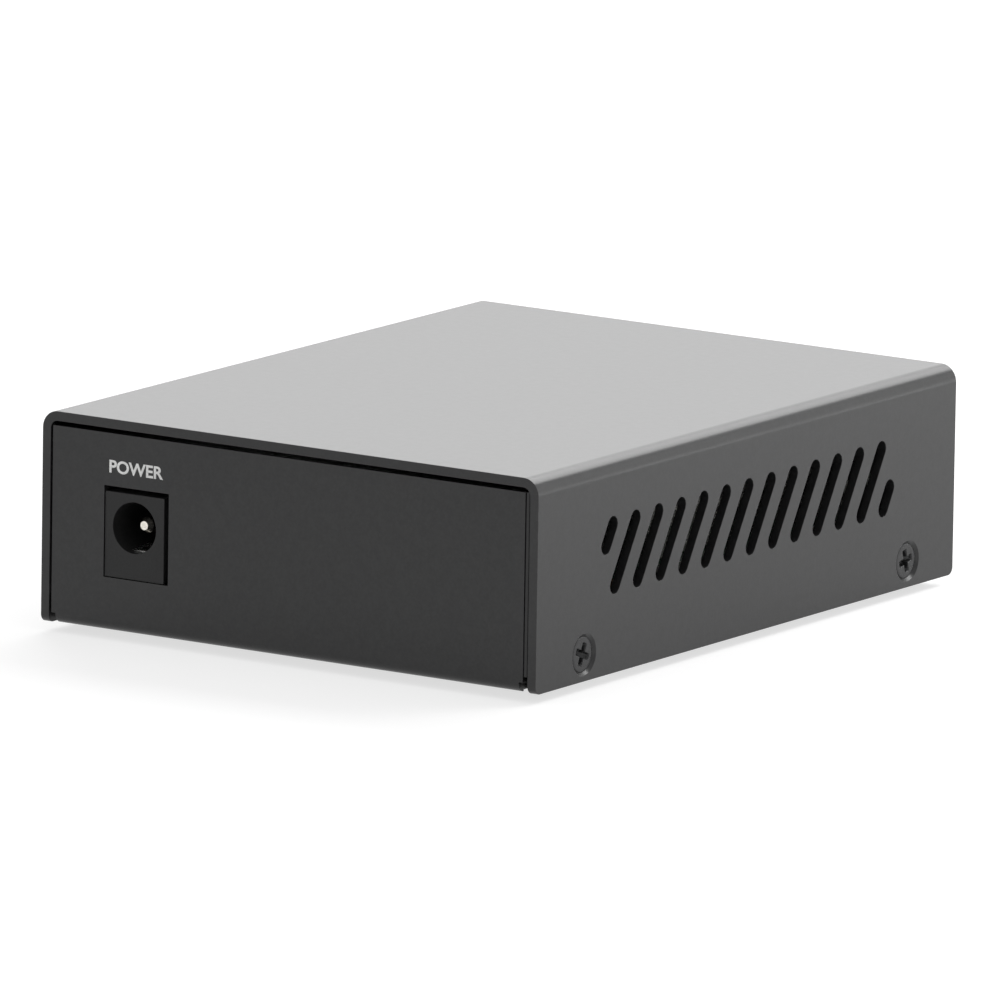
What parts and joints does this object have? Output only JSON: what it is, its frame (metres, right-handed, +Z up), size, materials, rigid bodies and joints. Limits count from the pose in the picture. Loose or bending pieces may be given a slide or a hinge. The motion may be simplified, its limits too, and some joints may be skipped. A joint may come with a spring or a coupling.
{
  "type": "fibre media converter",
  "caption": "Small desktop converter box between a pluggable optical module slot and a shielded network jack, in a folded steel case with slanted side vents and a rear power jack.",
  "frame": {"origin": "centre of the footprint on the plane of the four rubber feet", "axes": "+Z up, -Y towards the ports at the front, +Y towards the power jack at the rear, +X across the case to the network jack side"},
  "size_m": [0.073, 0.0944, 0.0278],
  "materials": {
    "powder_coat": "satin powder coat, charcoal",
    "screw_black": "black zinc, satin",
    "foot_rubber": "matt",
    "plated_steel": "bright nickel plate",
    "solder_mask": "gloss solder mask over glass laminate",
    "spring_metal": "gold flash on spring alloy",
    "tin_leads": "tinned",
    "black_nylon": "moulded, fine texture",
    "black_epoxy": "moulded epoxy",
    "white_nylon": "moulded",
    "blue_switch": "moulded",
    "clear_epoxy": "water clear, green tint",
    "can_sleeve": "drawn can",
    "ferrite": "dark ferrite",
    "chip_ceramic": "tan ceramic, tinned ends"
  },
  "bodies": {
    "converter": {"base_tray": "powder_coat", "board_screws": "plated_steel", "board_standoffs": "plated_steel", "cage_spring_collar": "plated_steel", "case_screws": "screw_black", "chip_capacitors": "chip_ceramic", "circuit_board": "solder_mask", "cover": "powder_coat", "crystal_can": "plated_steel", "filter_capacitors": "can_sleeve", "indicator_lights": "clear_epoxy", "input_diode": "black_epoxy", "isolation_transformer": "black_epoxy", "isolation_transformer_leads": "tin_leads", "light_block": "black_nylon", "memory_chip": "black_epoxy", "memory_chip_leads": "tin_leads", "module_cage": "plated_steel", "module_connector": "black_nylon", "module_connector_contacts": "spring_metal", "network_jack_contacts": "spring_metal", "network_jack_moulding": "black_nylon", "network_jack_shield": "plated_steel", "power_coil": "ferrite", "power_jack_housing": "black_nylon", "power_jack_leaf": "tin_leads", "power_jack_pin": "plated_steel", "power_jack_terminal": "tin_leads", "rubber_feet": "foot_rubber", "supply_chip": "black_epoxy", "supply_chip_leads": "tin_leads", "switch_housing": "blue_switch", "transceiver_chip": "black_epoxy", "transceiver_leads": "tin_leads"},
    "left_lever": {"switch_lever_left": "white_nylon"},
    "right_lever": {"switch_lever_right": "white_nylon"}
  },
  "joints": [
    {"name": "left_lever_slide", "type": "slide", "parent": "converter", "child": "left_lever", "axis": [0, 0, 1], "range_m": [0, 0.002]},
    {"name": "right_lever_slide", "type": "slide", "parent": "converter", "child": "right_lever", "axis": [0, 0, 1], "range_m": [0, 0.002]}
  ]
}
